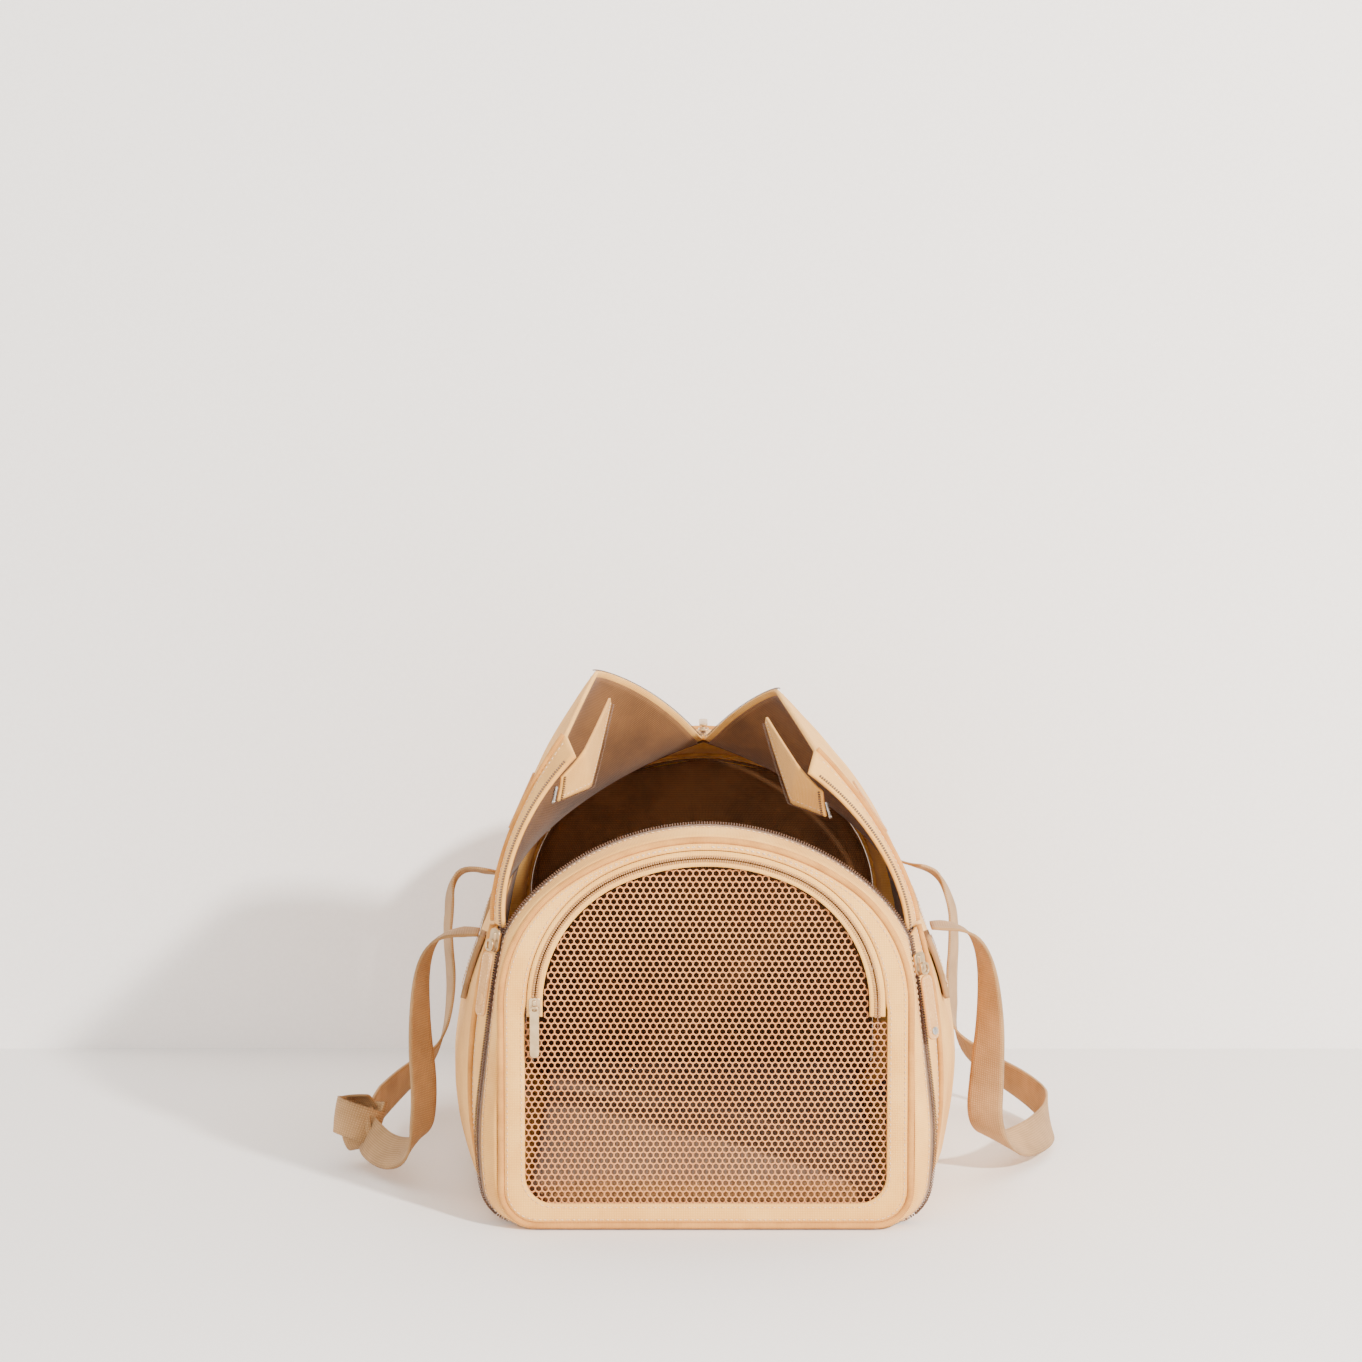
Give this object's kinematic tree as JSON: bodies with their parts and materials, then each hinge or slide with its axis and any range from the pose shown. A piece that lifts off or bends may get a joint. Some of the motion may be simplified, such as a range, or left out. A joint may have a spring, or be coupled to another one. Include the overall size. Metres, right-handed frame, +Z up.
{
  "type": "soft pet carrier bag",
  "caption": "Soft-sided pet carrier with an arched mesh front, a zippered mesh door, roof flaps that open outwards, leather pulls and two webbing handles",
  "frame": {"origin": "middle of the bag's underside, on the surface it stands on", "axes": "+Z up, -Y towards the front panel with the door, +Y along the bag to its rear, +X to the right"},
  "size_m": [0.5042, 0.4551, 0.3432],
  "materials": {
    "board": "extruded polypropylene sheet",
    "canvas": "plain-woven cotton-polyester canvas, dyed tan",
    "coil": "moulded nylon coil",
    "fleece": "brushed fleece cover over foam",
    "leather": "vegetable-tanned leather, cut edges",
    "lining": "woven dark brown lining cloth",
    "mesh": "knitted hexagonal polyester mesh",
    "piping": "bias-cut canvas over cord",
    "slider_metal": "die-cast zinc with a warm plated finish",
    "steel": "nickel-plated steel",
    "webbing": "woven cotton webbing",
    "zip_tape": "woven zipper tape"
  },
  "bodies": {
    "bag": {"bottom_panel": "canvas", "base_board": "board", "base_pad": "fleece", "side_panel_left": "canvas", "side_panel_right": "canvas", "side_lining_left": "lining", "side_lining_right": "lining", "rim_piping_left": "piping", "rim_piping_right": "piping", "zipper_strip_left": "canvas", "zipper_strip_right": "canvas", "zipper_coil_left": "coil", "zipper_coil_right": "coil", "rear_gusset": "canvas", "rear_rim_piping": "piping", "rear_piping": "piping", "rear_frame": "canvas", "rear_cloth": "canvas", "rear_stiffener": "board", "top_rear_panel": "canvas", "top_coil": "coil", "strap_anchors": "webbing", "strap_left": "webbing", "strap_left_knot": "webbing", "strap_right": "webbing"},
    "front_panel": {"front_frame": "canvas", "front_piping": "piping", "front_stiffener": "board", "front_mesh_lower": "mesh", "front_strip": "canvas", "front_coil": "coil", "door_tape_outer": "zip_tape", "door_coil_outer": "coil"},
    "front_door": {"door_mesh": "mesh", "door_tape_inner": "zip_tape", "door_coil_inner": "coil"},
    "door_slider": {"door_slider": "slider_metal"},
    "door_pull": {"door_pull": "slider_metal"},
    "top_slider": {"top_slider": "slider_metal"},
    "top_pull": {"top_pull": "slider_metal"},
    "slider_left": {"slider_left": "slider_metal"},
    "pull_left": {"pull_ring_left": "slider_metal", "pull_tab_left": "leather"},
    "slider_right": {"slider_right": "slider_metal"},
    "pull_right": {"pull_ring_right": "slider_metal", "pull_tab_right": "leather", "pull_rivet_right": "steel"},
    "flap_left": {"flap_left": "canvas", "flap_patch_left": "leather"},
    "tip_left": {"flap_tip_left": "canvas", "flap_clip_left": "steel"},
    "flap_right": {"flap_right": "canvas", "flap_patch_right": "leather"},
    "tip_right": {"flap_tip_right": "canvas", "flap_clip_right": "steel"}
  },
  "joints": [
    {"name": "front_panel_fold", "type": "hinge", "parent": "bag", "child": "front_panel", "pos_m": [0, -0.2308, 0.0006], "axis": [1, 0, 0], "range_deg": [0, 90]},
    {"name": "door_fold", "type": "hinge", "parent": "front_panel", "child": "front_door", "pos_m": [0, -0.2235, 0.136], "axis": [1, 0, 0], "range_deg": [0, 110]},
    {"name": "door_slider_slide", "type": "slide", "parent": "front_door", "child": "door_slider", "axis": [0, 0, 1], "range_m": [0, 0.012]},
    {"name": "door_pull_swing", "type": "hinge", "parent": "door_slider", "child": "door_pull", "pos_m": [-0.109, -0.22931, 0.145], "axis": [-1, 0, 0], "range_deg": [0, 110]},
    {"name": "top_slider_slide", "type": "slide", "parent": "bag", "child": "top_slider", "axis": [0, 1, 0], "range_m": [0, 0.055]},
    {"name": "top_pull_lift", "type": "hinge", "parent": "top_slider", "child": "top_pull", "pos_m": [0, 0.075, 0.29108], "axis": [1, 0, 0], "range_deg": [0, 120]},
    {"name": "slider_left_slide", "type": "slide", "parent": "bag", "child": "slider_left", "axis": [-0.1401, 0, -0.9901], "range_m": [0, 0.085]},
    {"name": "pull_left_swing", "type": "hinge", "parent": "slider_left", "child": "pull_left", "pos_m": [-0.13779, -0.20913, 0.18492], "axis": [-0.6096, 0.788, 0.0863], "range_deg": [0, 150]},
    {"name": "flap_left_open", "type": "hinge", "parent": "bag", "child": "flap_left", "pos_m": [-0.137, 0, 0.19], "axis": [0, -1, 0], "range_deg": [-32.5, 60]},
    {"name": "tip_left_unfold", "type": "hinge", "parent": "flap_left", "child": "tip_left", "pos_m": [-0.08566, -0.18, 0.3067], "axis": [-0.1384, -0.9625, -0.2336], "range_deg": [0, 139]},
    {"name": "slider_right_slide", "type": "slide", "parent": "bag", "child": "slider_right", "axis": [0.1401, 0, -0.9901], "range_m": [0, 0.085]},
    {"name": "pull_right_swing", "type": "hinge", "parent": "slider_right", "child": "pull_right", "pos_m": [0.13944, -0.20969, 0.16985], "axis": [-0.6753, -0.7314, -0.0956], "range_deg": [0, 150]},
    {"name": "flap_right_open", "type": "hinge", "parent": "bag", "child": "flap_right", "pos_m": [0.137, 0, 0.19], "axis": [0, 1, 0], "range_deg": [-23, 60]},
    {"name": "tip_right_unfold", "type": "hinge", "parent": "flap_right", "child": "tip_right", "pos_m": [0.06711, -0.18, 0.29663], "axis": [-0.1751, 0.9624, 0.2075], "range_deg": [0, 130]}
  ],
  "couplings": [
    {"joint": "door_pull_swing", "follows": "door_fold", "ratio": 1}
  ]
}
